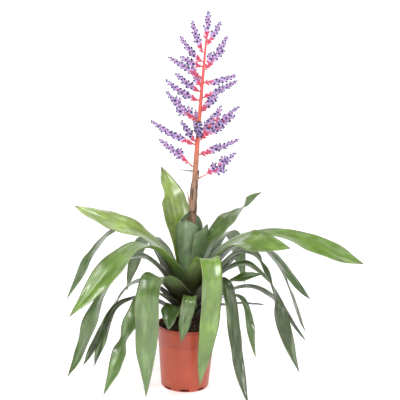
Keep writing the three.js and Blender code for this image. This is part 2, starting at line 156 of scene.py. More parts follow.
def rings_of(node, sides=8):
    """The rings of corners that a lofted CAD node is made of, from its foot on, and its tip."""
    points, links = corners_and_links(node)
    for corner in range(len(points)):
        if len(links[corner]) == sides:
            levels = levels_from(corner, links)
            if all(len(level) == sides for level in levels[1:]):
                return [points[level] for level in levels[:0:-1]], points[corner]
    raise ValueError(f"{node} isn't a loft of {sides}-cornered rings with a pointed tip")


def spline(knots, values, at):
    """Values at places between knots, on a smooth curve through all of them."""
    values = np.asarray(values, float)
    slopes = np.gradient(values, knots, axis=0)
    i = np.clip(np.searchsorted(knots, at) - 1, 0, len(knots) - 2)
    shape = (-1,) + (1,) * (values.ndim - 1)
    step = (knots[i + 1] - knots[i]).reshape(shape)
    s = ((at - knots[i]) / (knots[i + 1] - knots[i])).reshape(shape)
    rise = s * s * (3 - 2 * s)
    start_slope = s * (1 - s) ** 2 * step * slopes[i]
    end_slope = s * s * (s - 1) * step * slopes[i + 1]
    return values[i] * (1 - rise) + values[i + 1] * rise + start_slope + end_slope


def unit(vectors):
    return vectors / np.linalg.norm(vectors, axis=-1, keepdims=True)


def lengths_along(points):
    """Distance from the first point to each one, along the line through them."""
    return np.concatenate([[0], np.cumsum(np.linalg.norm(np.diff(points, axis=0), axis=1))])


# ---------------------------------------------------------------- making meshes


class Shape:
    """Corners, faces and colours gathered from several closed parts."""

    def __init__(self):
        self.corners = []
        self.faces = []
        self.tints = []
        self.slots = []
        self.places = []

    def add(self, corners, faces, tints, slots=0, places=None):
        start = len(self.corners)
        self.corners.extend(map(tuple, corners))
        self.faces.extend([tuple(start + c for c in face) for face in faces])
        tints = np.broadcast_to(tints, (len(corners), 3))
        self.tints.extend(map(tuple, tints))
        self.slots.extend([slots] * len(faces) if np.isscalar(slots) else slots)
        self.places.extend(map(tuple, np.zeros((len(corners), 2)) if places is None else places))

    def piece(self, name, materials, slot, *nodes):
        """The gathered shape as an object that stands for the CAD nodes."""
        mesh = bpy.data.meshes.new(name)
        mesh.from_pydata(self.corners, [], self.faces)
        tint = mesh.color_attributes.new("Tint", "FLOAT_COLOR", "POINT")
        rgba = np.ones((len(self.corners), 4), np.float32)
        rgba[:, :3] = self.tints
        tint.data.foreach_set("color", rgba.ravel())
        corner_of_loop = np.empty(len(mesh.loops), np.int32)
        mesh.loops.foreach_get("vertex_index", corner_of_loop)
        layout = mesh.uv_layers.new(name="Surface")
        layout.uv.foreach_set("vector", np.array(self.places, np.float32)[corner_of_loop].ravel())
        for material in materials:
            mesh.materials.append(material)
        mesh.polygons.foreach_set("material_index", np.array(self.slots, np.int32))
        mesh.shade_smooth()
        mesh.validate()
        made = bpy.data.objects.new(name, mesh)
        bpy.context.scene.collection.objects.link(made)
        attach(made, "root")
        if nodes:
            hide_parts(*nodes)
        return made


def grid_faces(rows, sides):
    """Faces of a tube of rows of corners, each a closed ring."""
    faces = []
    for i in range(rows - 1):
        for j in range(sides):
            k = (j + 1) % sides
            faces.append((i * sides + j, i * sides + k, (i + 1) * sides + k, (i + 1) * sides + j))
    return faces


def frames_along(points):
    """Two directions square to a line at each of its points, turning as little as they can."""
    ahead = unit(np.gradient(points, axis=0))
    across = np.cross(ahead[0], (0.31, 0.87, 0.4))
    firsts = []
    for direction in ahead:
        across = unit(across - direction * np.dot(across, direction))
        firsts.append(across)
    firsts = np.array(firsts)
    return firsts, np.cross(ahead, firsts)


def tube(points, radii, sides):
    """Corners and faces of a round tube with closed ends."""
    points = np.asarray(points, float)
    first, second = frames_along(points)
    turn = np.linspace(0, 2 * math.pi, sides, endpoint=False)
    spokes = np.cos(turn)[None, :, None] * first[:, None] + np.sin(turn)[None, :, None] * second[:, None]
    corners = points[:, None] + spokes * np.asarray(radii, float)[:, None, None]
    faces = grid_faces(len(points), sides)
    faces.append(tuple(range(sides - 1, -1, -1)))
    last = (len(points) - 1) * sides
    faces.append(tuple(range(last, last + sides)))
    return corners.reshape(-1, 3), faces


def turned(profile, sides):
    """Corners and faces of a body turned round Z, from a profile of (radius, height)."""
    turn = np.linspace(0, 2 * math.pi, sides, endpoint=False)
    corners = [
        (radius * math.cos(a), radius * math.sin(a), height)
        for radius, height in profile
        for a in turn
    ]
    return np.array(corners), grid_faces(len(profile), sides)


# ---------------------------------------------------------------- materials


def new_material(name):
    material = bpy.data.materials.new(name)
    material.use_nodes = True
    nodes = material.node_tree.nodes
    return material, nodes, material.node_tree.links, nodes["Principled BSDF"]


def add_node(nodes, kind, **values):
    """A shader node with its properties and unlinked inputs set."""
    made = nodes.new(kind)
    for key, value in values.items():
        if key.startswith("in_"):
            made.inputs[key[3:].replace("_", " ")].default_value = value
        else:
            setattr(made, key, value)
    return made


def tinted(nodes, links, shader, *patterns):
    """The piece's own tint as the base colour, made darker and lighter by (pattern, strength) pairs."""
    colour_so_far = add_node(nodes, "ShaderNodeVertexColor", layer_name="Tint").outputs["Color"]
    for pattern, strength in patterns:
        spread = add_node(nodes, "ShaderNodeMapRange")
        spread.inputs["From Min"].default_value = 0.25
        spread.inputs["From Max"].default_value = 0.75
        spread.inputs["To Min"].default_value = 1 - strength
        spread.inputs["To Max"].default_value = 1 + strength
        links.new(pattern, spread.inputs["Value"])
        mixed = add_node(nodes, "ShaderNodeMix", data_type="RGBA", blend_type="MULTIPLY")
        mixed.inputs["Factor"].default_value = 1
        links.new(colour_so_far, mixed.inputs["A"])
        links.new(spread.outputs["Result"], mixed.inputs["B"])
        colour_so_far = mixed.outputs["Result"]
    links.new(colour_so_far, shader.inputs["Base Color"])


def stretched(nodes, links, scale):
    """Surface places in metres, stretched by scale."""
    places = add_node(nodes, "ShaderNodeUVMap", uv_map="Surface")
    mapped = add_node(nodes, "ShaderNodeMapping")
    mapped.inputs["Scale"].default_value = scale
    links.new(places.outputs["UV"], mapped.inputs["Vector"])
    return mapped.outputs["Vector"]


def add_bump(nodes, links, shader, height, distance, strength=1.0):
    bump = add_node(nodes, "ShaderNodeBump")
    bump.inputs["Distance"].default_value = distance
    bump.inputs["Strength"].default_value = strength
    links.new(height, bump.inputs["Height"])
    links.new(bump.outputs["Normal"], shader.inputs["Normal"])


def surface_noise(nodes, links, scale, detail):
    """Noise over a leaf's own surface, with its cells stretched by scale."""
    pattern = add_node(nodes, "ShaderNodeTexNoise")
    pattern.inputs["Scale"].default_value = 1
    pattern.inputs["Detail"].default_value = detail
    links.new(stretched(nodes, links, scale), pattern.inputs["Vector"])
    return pattern.outputs["Fac"]


def leaf_material(name, roughness, vein_depth, coat):
    """A strap leaf's skin: fine veins along it, streaks, mottling and a waxy gloss."""
    material, nodes, links, shader = new_material(name)
    veins = surface_noise(nodes, links, (1100, 14, 1), 3)
    streaks = surface_noise(nodes, links, (190, 10, 1), 2)
    mottling = surface_noise(nodes, links, (75, 34, 1), 4)
    tinted(nodes, links, shader, (veins, 0.1), (streaks, 0.14), (mottling, 0.3))
    gloss = add_node(nodes, "ShaderNodeMapRange")
    gloss.inputs["To Min"].default_value = roughness - 0.14
    gloss.inputs["To Max"].default_value = roughness + 0.14
    links.new(mottling, gloss.inputs["Value"])
    links.new(gloss.outputs["Result"], shader.inputs["Roughness"])
    add_bump(nodes, links, shader, veins, vein_depth, 0.5)
    shader.inputs["Subsurface Weight"].default_value = 0.05
    shader.inputs["Subsurface Radius"].default_value = (0.4, 1.0, 0.2)
    shader.inputs["Subsurface Scale"].default_value = 0.002
    shader.inputs["Coat Weight"].default_value = coat
    shader.inputs["Coat Roughness"].default_value = 0.2
    shader.inputs["Specular IOR Level"].default_value = 0.7
    return material


def grainy_material(name, scale, strength, roughness, depth, coat=0.0, subsurface=0.0):
    """A tinted surface with a fine grain, such as bark, soil, a flower or a dry bract."""
    material, nodes, links, shader = new_material(name)
    where = add_node(nodes, "ShaderNodeTexCoord")
    grain = add_node(nodes, "ShaderNodeTexNoise")
    grain.inputs["Scale"].default_value = scale
    grain.inputs["Detail"].default_value = 6
    links.new(where.outputs["Object"], grain.inputs["Vector"])
    tinted(nodes, links, shader, (grain.outputs["Fac"], strength))
    add_bump(nodes, links, shader, grain.outputs["Fac"], depth, 0.6)
    shader.inputs["Roughness"].default_value = roughness
    shader.inputs["Coat Weight"].default_value = coat
    shader.inputs["Subsurface Weight"].default_value = subsurface
    shader.inputs["Subsurface Scale"].default_value = 0.001
    return material


LEAF_UPPER = leaf_material("leaf_upper", 0.36, 0.0005, 0.9)
LEAF_UNDER = leaf_material("leaf_under", 0.48, 0.0005, 0.08)
PAPERY = grainy_material("papery_bract", 900, 0.25, 0.75, 0.0002)
FLESHY = grainy_material("flower_stem_skin", 320, 0.3, 0.55, 0.0005, subsurface=0.05)
PETAL = grainy_material("flower_skin", 700, 0.12, 0.42, 0.0001, subsurface=0.1)
EARTH = grainy_material("potting_soil", 420, 0.6, 0.9, 0.0008)
BARK = grainy_material("crown_bark", 300, 0.5, 0.85, 0.0008)

# ---------------------------------------------------------------- leaves

LEAF_ROWS = 84
LEAF_COLUMNS = 15
LEAF_THICKNESS = 1.1 * MM
LEAF_EDGE_THICKNESS = 0.35 * MM
SHEATH_SPREAD = 1.4
MOST_CURL = 1.45
VASE_SPREAD = {"leaf_vase_front": 1.75, "leaf_vase_right": 1.35, "leaf_vase_back": 1.5}
WAVE_HEIGHT = 2.8 * MM
BILLOW = 2 * MM
RIPPLE = 1.6 * MM
MIDRIB_GROOVE = 0.5 * MM
LEAF_NARROWEST = 0.3 * MM
TROUGH_SHALLOWEST = 0.01 * MM
# Share of a leaf's half width that its midrib groove and its lighter rib spread over
GROOVE_SPREAD = 0.16
RIB_SPREAD = 0.1
# Leaves this wide or wider have the full groove
GROOVED_WIDTH = 30 * MM
LEAF_THINNING = 0.55
THICKEST_SHARE = 0.2
# Leaf length that the rates of waves and ripples are given for
USUAL_LEAF_LENGTH = 0.3
# Leaves that start lower than this have a brown foot
BROWN_FOOT_BELOW = 0.16

# Tone of each leaf: the deep and dark tones of leaves at the back and underneath, such as leaf_arched_right
# and leaf_down_right, are partly painted shade
TONE_OF = {
    "leaf_vase_front": "frosted",
    "leaf_vase_back": "frosted",
    "leaf_vase_right": "frosted",
    "leaf_upright": "light",
    "leaf_curled": "fresh",
    "leaf_high_left": "light",
    "leaf_long_right": "bright",
    "leaf_right": "bright",
    "leaf_low_left": "bright",
    "leaf_front_right": "bright",
    "leaf_front_left": "fresh",
    "leaf_broad_left": "deep",
    "leaf_small_front": "fresh",
    "leaf_twisted_right": "dark",
    "leaf_trailing": "dark",
    "leaf_strap_left": "fresh",
    "leaf_dark_left": "dark",
    "leaf_narrow_left": "dark",
    "leaf_down_right": "deep",
    "leaf_arched_right": "dark",
    "leaf_thin_right": "dark",
    "leaf_small_left": "deep",
    "leaf_flat_right": "dark",
}


def sections_of(node):
    """Middle, sideways and upward direction, width and trough depth of each ring of a CAD leaf."""
    rings, tip = rings_of(node)
    centres = np.array([ring.mean(0) for ring in rings] + [tip])
    ahead = unit(np.gradient(centres, axis=0))
    middles, sides, faces, widths, depths = [], [], [], [], []
    side = None
    for ring, direction in zip(rings, ahead):
        apart = np.linalg.norm(ring[:, None] - ring[None], axis=2)
        a, b = np.unravel_index(apart.argmax(), apart.shape)
        middle_of_edges = (ring[a] + ring[b]) / 2
        across = unit(ring[b] - ring[a])
        share = (ring - middle_of_edges) @ across
        inner = np.argsort(abs(share))[:2]
        middle = ring[inner].mean(0)
        if side is None:
            side = np.cross(direction, middle_of_edges - middle)
        side = across if np.dot(across, side) > 0 else -across
        face = unit(np.cross(side, direction))
        middles.append(middle)
        sides.append(side)
        faces.append(face)
        widths.append(apart.max())
        depths.append(max(np.dot(middle_of_edges - middle, face), 0.02 * apart.max()))
    middles.append(tip)
    sides.append(sides[-1])
    faces.append(faces[-1])
    widths.append(0)
    depths.append(0)
    return [np.array(v) for v in (middles, sides, faces, widths, depths)]


def wander(along, seed, rate):
    """A smooth value, about -1 to 1, that changes rate times along a leaf and differs by seed."""
    return np.array([noise.noise((rate * t, seed * 7.3, 0.5)) for t in along]) * 1.6


def upright_leaf_edge(along):
    """The upright leaf's left edge bulges, and is folded over above that."""
    bulge = 0.22 * np.exp(-(((along - 0.62) / 0.12) ** 2))
    fold = 0.5 * smooth(along, 0.69, 0.76) * (1 - smooth(along, 0.78, 0.92))
    return 1 + bulge - fold


def leaf_shape(node, seed, thickness=LEAF_THICKNESS, spread=SHEATH_SPREAD, relief=1.0):
    """Rows of points on the upper and under side of a fine leaf, and where each is on it."""
    middles, sides, faces, widths, depths = sections_of(node)
    knots = lengths_along(middles)
    length = knots[-1]
    along = np.linspace(0, 1, LEAF_ROWS + 1)[:-1] ** 0.97
    at = along * length
    middle = spline(knots, middles, at)
    side = spline(knots, sides, at)
    ahead = unit(np.gradient(middle, axis=0))
    side = unit(side - ahead * np.sum(side * ahead, 1, keepdims=True))
    face = np.cross(side, ahead)
    width = np.maximum(spline(knots, widths, at), LEAF_NARROWEST)
    depth = np.maximum(spline(knots, depths, at), TROUGH_SHALLOWEST)
    radius = (width**2 / 4 + depth**2) / (2 * depth)
    reach = 2 * np.arctan2(2 * depth, width)
    widen = 1 + (spread - 1) * (1 - smooth(along, 0.05, 0.3))
    if node in VASE_SPREAD:
        widen = 1 + (VASE_SPREAD[node] - 1) * smooth(along, 0, 0.2)
    reach = np.minimum(reach * widen * (1 + 0.09 * relief * wander(along, seed, 9)), MOST_CURL)
    across = np.linspace(-1, 1, LEAF_COLUMNS)
    left = upright_leaf_edge(along) if node == "leaf_upright" else np.ones(LEAF_ROWS)
    angle = reach[:, None] * across[None] * np.where(across[None] < 0, left[:, None], 1)
    free = relief * smooth(along, 0.25, 0.45) * (1 - smooth(along, 0.93, 1))
    rippled = np.zeros_like(angle)
    for edge, phase in ((-1, 0.0), (1, 3.7)):
        swing = wander(along, seed + phase, 4 + 2 * length / USUAL_LEAF_LENGTH) * free * WAVE_HEIGHT
        lean = np.clip(across * edge, 0, 1) ** 2.4
        rippled += swing[:, None] * lean[None]
    groove = np.exp(-((across[None] / GROOVE_SPREAD) ** 2))
    crease = relief * MIDRIB_GROOVE * np.minimum(width / GROOVED_WIDTH, 1)[:, None] * groove
    billow = (wander(along, seed + 9, 5) * free * BILLOW)[:, None]
    ripples = 9 * along * length / USUAL_LEAF_LENGTH
    ribs = RIPPLE * free[:, None] * np.array(
        [[noise.noise((r, 2.2 * u, seed * 3.1)) for u in across] for r in ripples]
    )
    height = radius[:, None] * (1 - np.cos(angle)) + rippled + billow + ribs - crease
    centre = middle[:, None] + side[:, None] * (radius[:, None] * np.sin(angle))[..., None]
    surface = centre + face[:, None] * height[..., None]
    normal = unit(np.cross(side, ahead))[:, None] * np.cos(angle)[..., None]
    normal = normal - side[:, None] * np.sin(angle)[..., None]
    thin = thickness * (1 - LEAF_THINNING * along)[:, None]
    half = (LEAF_EDGE_THICKNESS + (thin - LEAF_EDGE_THICKNESS) * (1 - across[None] ** 4)) / 2
    half = np.minimum(half, THICKEST_SHARE * width[:, None])
    upper = surface + normal * half[..., None]
    under = surface - normal * half[..., None]
    place = np.stack([radius[:, None] * angle, np.broadcast_to(at[:, None], angle.shape)], -1)
    share = np.broadcast_to(across, angle.shape)
    return upper, under, place, share, along, middles[-1]


def scurf(along, share, seed, rate):
    """Patches from 0 to 1 where a leaf is dusted with pale scales, longer than they are wide."""
    spots = np.array([[noise.noise((rate * t, 1.6 * u, seed * 5.1)) for u in share[0]] for t in along])
    return smooth(spots, 0.08, 0.42)


def leaf_tints(tone, along, share, foot, seed, under):
    """Colours over a leaf: dull foot darkened with painted shade, mottled blade with a lighter rib, thin
    pale edge and a dry tip.
    """
    green = np.broadcast_to(tone, share.shape + (3,))
    patch = 1 + 0.2 * wander(along, seed + 20, 6)[:, None] + 0.1 * wander(along, seed + 30, 17)[:, None]
    side = 1 + 0.1 * share * float(wander([0.5], seed + 40, 1)[0])
    green = green * (patch * side)[..., None]
    rib = 1 + 0.16 * np.exp(-((share / RIB_SPREAD) ** 2))
    green = green * rib[..., None]
    green = blend(green, LEAF_DUST, 0.2 * scurf(along, share, seed, 7))
    if under:
        green = blend(green, LEAF_BLOOM, np.full(share.shape, 0.12))
    rise = smooth(along, 0.1, 0.34)[:, None] * np.ones_like(share)
    # The foot's own colour is made darker still (foot * 0.8) as painted shade down in the rosette
    green = blend(blend(foot * 0.8, green, 0.1), green, rise)
    ragged = 0.5 + 0.5 * wander(along, seed + 50, 14)[:, None]
    edge = smooth(abs(share), 0.88, 1.0) * smooth(along, 0.1, 0.3)[:, None] * np.clip(ragged, 0.1, 1)
    green = blend(green, LEAF_EDGE, 0.7 * edge)
    tip = smooth(along[:, None] + 0.01 * np.sin(9 * share + seed), 0.955, 0.99)
    return blend(green, LEAF_TIP, 0.8 * tip)


def add_leaf(node, seed, tone, foot, materials, slot, **shape):
    """One leaf or bract as a closed thin solid with an upper and an under side."""
    upper, under, place, share, along, tip = leaf_shape(node, seed, **shape)
    tint_up = leaf_tints(tone, along, share, foot, seed, False)
    tint_down = leaf_tints(tone, along, share, foot, seed, True)
    rows, columns = share.shape
    middle = (upper + under) / 2
    ring = np.concatenate([middle[:, :1], upper[:, 1:-1], middle[:, -1:], under[:, -2:0:-1]], 1)
    tints = np.concatenate([tint_up, tint_down[:, -2:0:-1]], 1)
    places = np.concatenate([place, place[:, -2:0:-1]], 1)
    sides = 2 * columns - 2
    faces = grid_faces(rows, sides)
    slots = [0 if i % sides < columns - 1 else 1 for i in range(len(faces))]
    for j in range(columns - 1):
        low, high = (sides - j) % sides, (sides - j - 1) % sides
        cap = [j, low, high, j + 1]
        faces.append(tuple(dict.fromkeys(cap)))
        slots.append(1)
    last = (rows - 1) * sides
    for j in range(sides):
        faces.append((last + j, last + (j + 1) % sides, rows * sides))
        slots.append(0 if j < columns - 1 else 1)
    corners = np.concatenate([ring.reshape(-1, 3), [tip]])
    tints = np.concatenate([tints.reshape(-1, 3), [LEAF_TIP]])
    places = np.concatenate([places.reshape(-1, 2), [place[-1, columns // 2]]])
    made = Shape()
    made.add(corners, faces, tints, slots, places)
    made.piece(node + "_fine", materials, slot, node)


def add_leaves():
    leaves = sorted(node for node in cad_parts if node.startswith("leaf_"))
    for seed, node in enumerate(leaves):
        tone = LEAF_TONES[TONE_OF.get(node, "deep")]
        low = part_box(node)[0].z
        foot = LEAF_FOOT_BROWN if low < BROWN_FOOT_BELOW and "small" not in node else LEAF_FOOT
        add_leaf(node, seed + 1, tone, foot, [LEAF_UPPER, LEAF_UNDER], "leaf")


add_leaves()

# ---------------------------------------------------------------- flower stem

# Papery bracts wrapped round the lower stem: height of the foot, direction it opens to, length
STEM_WRAPS = [
    (0.232, 200, 0.052),
    (0.268, 20, 0.058),
    (0.312, 215, 0.06),
    (0.356, 60, 0.05),
    (0.392, 190, 0.044),
]
WRAP_GAP = 0.5 * MM
WRAP_THICKNESS = 0.5 * MM
WRAP_COLUMNS = 20
WRAP_ROWS = 16
STEM_ROWS = 220
STEM_SIDES = 24


def stem_line():
    rings, tip = rings_of("flower_stem", 10)
    centres = np.array([ring.mean(0) for ring in rings[:-1]] + [tip])
    radii = np.array([np.linalg.norm(ring - ring.mean(0), axis=1).mean() for ring in rings])
    return lengths_along(centres), centres, radii


STEM_KNOTS, STEM_CENTRES, STEM_RADII = stem_line()


def stem_tints(heights):
    """Brown where it leaves the leaves, tan above that, then coral and red to the top."""
    brown, tan = colour(112, 90, 70), colour(164, 116, 90)
    coral, red = colour(216, 104, 84), colour(222, 84, 88)
    tints = blend(brown, tan, smooth(heights, 0.36, 0.42))
    tints = blend(tints, coral, smooth(heights, 0.43, 0.5))
    return blend(tints, red, smooth(heights, 0.52, 0.66))


WRAP_PALE = colour(164, 128, 106)
WRAP_DARK = colour(84, 66, 54)


def add_stem_wrap(made, foot, opening, length, seed):
    """A dry papery bract round the stem that opens on one side and ends in a free point."""
    turn = np.linspace(-1, 1, WRAP_COLUMNS)
    corners = []
    for layer in (0, 1):
        for share in np.linspace(0, 1, WRAP_ROWS):
            height = foot + length * share
            centre = spline(STEM_CENTRES[:, 2], STEM_CENTRES, np.array([height]))[0]
            radius = spline(STEM_CENTRES[:, 2], STEM_RADII, np.array([height]))[0]
            cover = math.pi * 0.96 * (1 - share**1.6) ** 0.7 + 0.03
            flare = WRAP_GAP * (1 + 1.5 * share) + radius * 0.1 * share + layer * WRAP_THICKNESS
            for u in turn:
                angle = opening + math.pi + cover * u
                rough = 0.35 * MM * noise.noise((3 * share, 4 * u, seed))
                reach = radius * 1.05 + flare + rough
                corners.append(centre + reach * np.array((math.cos(angle), math.sin(angle), 0)))
    corners = np.array(corners).reshape(2, WRAP_ROWS, WRAP_COLUMNS, 3)
    ring = np.concatenate([corners[1], corners[0][:, ::-1]], 1)
    sides = 2 * WRAP_COLUMNS
    faces = grid_faces(WRAP_ROWS, sides)
    faces.append(tuple(range(sides - 1, -1, -1)))
    last = (WRAP_ROWS - 1) * sides
    faces.append(tuple(range(last, last + sides)))
    points = ring.reshape(-1, 3)
    streak = np.array([noise.noise(Vector((c[0] * 420, c[1] * 420, c[2] * 50))) for c in points])
    tints = blend(WRAP_PALE, WRAP_DARK, smooth(streak, -0.25, 0.3))
    made.add(points, faces, tints, 1)


def add_stem():
    at = np.linspace(0, STEM_KNOTS[-1], STEM_ROWS)
    points = spline(STEM_KNOTS, STEM_CENTRES, at)
    radii = spline(STEM_KNOTS, STEM_RADII, at) * 1.02
    swell = np.array([noise.noise((60 * s, 0.3, 0.7)) for s in at])
    corners, faces = tube(points, radii * (1 + 0.05 * swell), STEM_SIDES)
    ridge = np.array([1 + 0.035 * noise.noise(Vector(c) * 90) for c in corners])
    centre = np.repeat(points, STEM_SIDES, 0)
    corners = centre + (corners - centre) * ridge[:, None]
    made = Shape()
    tints = stem_tints(corners[:, 2] + 0.012 * np.array([noise.noise(Vector(c) * 70) for c in corners]))
    scars = np.array([noise.noise(Vector((c[0] * 300, c[1] * 300, c[2] * 60))) for c in corners])
    worn = 0.75 * smooth(scars, 0.0, 0.5) * (1 - smooth(corners[:, 2], 0.4, 0.46))
    made.add(corners, faces, blend(tints, colour(78, 60, 46), worn))
    for order, (foot, opening, length) in enumerate(STEM_WRAPS):
        add_stem_wrap(made, foot, math.radians(opening), length, order + 1)
    made.piece("flower_stem_fine", [FLESHY, PAPERY], "stem", "flower_stem")


add_stem()


def add_bracts():
    papery = colour(178, 130, 104)
    add_leaf("bract_papery", 51, papery, colour(150, 120, 96), [PAPERY], "bract",
             thickness=0.5 * MM, spread=1, relief=0)
    add_leaf("bract_dry", 52, colour(84, 62, 56), colour(104, 74, 66), [PAPERY], "bract",
             thickness=2.2 * MM, spread=1.8, relief=0)


add_bracts()

# ---------------------------------------------------------------- flowers

FLOWER_PROFILE = [
    # radius and distance from the foot in mm, for a flower of average size
    (0.8, 0.0), (1.5, 0.8), (2.2, 2.0), (2.6, 3.4), (2.55, 5.0), (2.0, 6.6),
    (1.7, 7.1), (1.95, 7.8), (1.8, 8.7), (1.2, 9.5), (0.6, 10.1),
]
FLOWER_SIDES = 8
FLOWER_LENGTH = 10.3
FLOWER_SEED = 11
GOLDEN_ANGLE = math.radians(137.5)
SPIKE_ROWS = 24
SPIKE_SIDES = 8
# Branches whose side stalks all rise
ONE_SIDED = ("branch_02", "branch_03")
PINK = colour(214, 64, 112)
LILAC = colour(208, 180, 222)
VIOLET = colour(152, 142, 206)
NAVY = colour(34, 34, 74)
BUD_FOOT = colour(206, 60, 84)
BUD_TIP = colour(226, 112, 148)


def flower_template():
    """Corners round the Z axis, faces, and colours of one flower and of one bud that is still shut."""
    turn = np.linspace(0, 2 * math.pi, FLOWER_SIDES, endpoint=False)
    corners, tints, bud_tints = [], [], []
    for radius, z in FLOWER_PROFILE:
        lobes = 1 + 0.1 * np.cos(3 * turn) * float(smooth(z, 2, 4))
        tint = blend(PINK, LILAC, smooth(z, 0.6, 2.6))
        tint = blend(tint, VIOLET, smooth(z, 4.6, 6.6))
        tint = blend(tint, NAVY, smooth(z, 6.9, 7.4))
        for a, lobe in zip(turn, lobes):
            corners.append((radius * lobe * math.cos(a), radius * lobe * math.sin(a), z))
            tints.append(tint)
            bud_tints.append(blend(BUD_FOOT, BUD_TIP, z / FLOWER_LENGTH))
    faces = grid_faces(len(FLOWER_PROFILE), FLOWER_SIDES)
    last = (len(FLOWER_PROFILE) - 1) * FLOWER_SIDES
    corners.append((0, 0, FLOWER_LENGTH))
    tints.append(NAVY)
    bud_tints.append(BUD_TIP)
    faces += [(last + j, last + (j + 1) % FLOWER_SIDES, last + FLOWER_SIDES) for j in range(FLOWER_SIDES)]
    faces.append(tuple(range(FLOWER_SIDES - 1, -1, -1)))
    return np.array(corners) * MM, faces, np.array(tints), np.array(bud_tints)


FLOWER = flower_template()


def basis(direction, chance):
    """A turn that takes Z to direction, at a random angle about it."""
    first = unit(np.cross(direction, (0.2, 0.5, 0.84)))
    second = np.cross(direction, first)
    a = chance.uniform(0, 2 * math.pi)
    x = first * math.cos(a) + second * math.sin(a)
    return np.stack([x, np.cross(direction, x), direction], 1)


def add_spike(made, line, chance, scale=1.0, first=0.0, pitch=2.1 * MM, thick=1.1, buds=0.2):
    """A stalk along a line with flowers all round it from share first of its length to the tip."""
    knots = lengths_along(line)
    length = knots[-1]
    at = np.linspace(0, length, SPIKE_ROWS)
    points = spline(knots, line, at)
    radii = thick * MM * (1.15 - 0.65 * at / length)
    corners, faces = tube(points, radii, SPIKE_SIDES)
    shares = np.repeat(at / length, SPIKE_SIDES)
    pinks = blend(colour(226, 84, 104), colour(206, 92, 150), shares)
    stalk = blend(stem_tints(corners[:, 2]), pinks, smooth(shares, 0, 0.3))
    made.add(corners, faces, stalk)
    ahead_at = unit(np.gradient(points, axis=0))
    across, up = frames_along(points)
    flower, flower_faces, flower_tints, bud_tints = FLOWER
    count = int((1 - first) * length / pitch)
    for i in range(count):
        share = first + (1 - first) * (i + 0.5) / count
        row = share * (len(at) - 1)
        near = int(row)
        centre = points[near] + (points[min(near + 1, len(points) - 1)] - points[near]) * (row - near)
        ahead = ahead_at[near]
        turn = i * GOLDEN_ANGLE + chance.uniform(-0.25, 0.25)
        out = across[near] * math.cos(turn) + up[near] * math.sin(turn)
        rise = share - first
        bloom = rise / (1 - first)
        lean = math.radians(chance.uniform(34, 50) - 24 * bloom**3)
        direction = unit(ahead * math.cos(lean) + out * math.sin(lean))
        young = 1 - 0.45 * bloom**2
        shut = bloom < buds * chance.uniform(0.7, 1.2)
        size = scale * young * chance.uniform(0.9, 1.08) * (0.7 if shut else 1)
        place = flower * size @ basis(direction, chance).T + centre + out * 0.5 * MM
        shade = chance.uniform(0.88, 1.12)
        tints = bud_tints if shut else flower_tints
        made.add(place, flower_faces, np.clip(tints * shade, 0, 1))
    tip = flower * 0.55 * scale @ basis(ahead_at[-1], chance).T + points[-1] - ahead_at[-1] * 1.5 * MM
    made.add(tip, flower_faces, flower_tints)


def add_scale_leaf(made, base, ahead, up, length, width, tint):
    """A small pointed bract under a branch."""
    across = unit(np.cross(ahead, up))
    rows = np.linspace(0, 1, 9)
    corners = []
    for share in rows:
        wide = width / 2 * (1 - share**2) ** 0.8 + 0.05 * MM
        centre = base + ahead * length * share + up * length * 0.22 * share**2
        for side, lift in ((-1, 0.25), (0, 0), (1, 0.25)):
            corners.append(centre + across * wide * side + up * wide * lift)
        for side, lift in ((1, 0.25), (0, 0), (-1, 0.25)):
            corners.append(centre + across * wide * side * 0.96 + up * (wide * lift - 0.3 * MM))
    faces = grid_faces(len(rows), 6)
    faces.append((5, 4, 3, 2, 1, 0))
    last = (len(rows) - 1) * 6
    faces.append(tuple(range(last, last + 6)))
    made.add(corners, faces, tint, 1)


def spindle_of(node):
    """Centre line of a CAD flower branch, and the longest spoke of each ring, zero at the tip."""
    rings, tip = rings_of(node)
    centres = np.array([ring.mean(0) for ring in rings] + [tip])
    heights = []
    for ring in rings:
        spokes = ring - ring.mean(0)
        heights.append(spokes[np.linalg.norm(spokes, axis=1).argmax()])
    return centres, np.array(heights + [heights[-1] * 0])


def add_branch(node, chance):
    """A flower branch: its stalk, side stalks where it is broad, and all their flowers."""
    centres, reaches = spindle_of(node)
    tall = np.linalg.norm(reaches, axis=1)
    made = Shape()
    bloom = int(np.argmax(tall > 2.2 * MM))
    first = max(lengths_along(centres)[bloom] / lengths_along(centres)[-1] - 0.2, 0.04)
    ahead = unit(centres[1] - centres[0])
    level = unit(np.cross(ahead, (0, 0, 1)))
    up = np.cross(level, ahead)
    main = [c - up * 0.12 * t for c, t in zip(centres, tall)] if tall.max() > 8.5 * MM else centres
    add_spike(made, np.array(main), chance, scale=1.16, first=first)
    side_stalks = int(max(0, (tall.max() - 6 * MM) / (1.6 * MM)))
    length = lengths_along(centres)[-1]
    for i in range(side_stalks):
        share = first + (0.62 - first) * (i + 0.4) / side_stalks
        base = spline(lengths_along(centres), centres, np.array([share * length]))[0]
        way = 1 if i % 2 == 0 else -1
        if node in ONE_SIDED:
            way = 1
        fan = math.radians(30 + 8 * chance.random())
        sideways = level * chance.uniform(-0.25, 0.25)
        heading = unit(ahead * math.cos(fan) + up * way * math.sin(fan) + sideways)
        reach = min(tall.max() / math.sin(fan) * 1.05, length * (0.98 - share))
        bend = ahead * 0.18 * reach
        halfway = base + heading * reach * 0.5 + bend * 0.1
        end = base + heading * reach * 0.86 + bend
        line = np.array([base, halfway, end])
        line = spline(lengths_along(line), line, np.linspace(0, lengths_along(line)[-1], 8))
        add_spike(made, line, chance, scale=1.06, first=0.1, thick=0.8, buds=0.15)
    add_scale_leaf(made, centres[0] - up * 1.2 * MM, unit(ahead - up * 0.2), up, 9 * MM, 4 * MM,
                   colour(214, 120, 112))
    made.piece(node + "_fine", [PETAL, PAPERY], "flower", node)


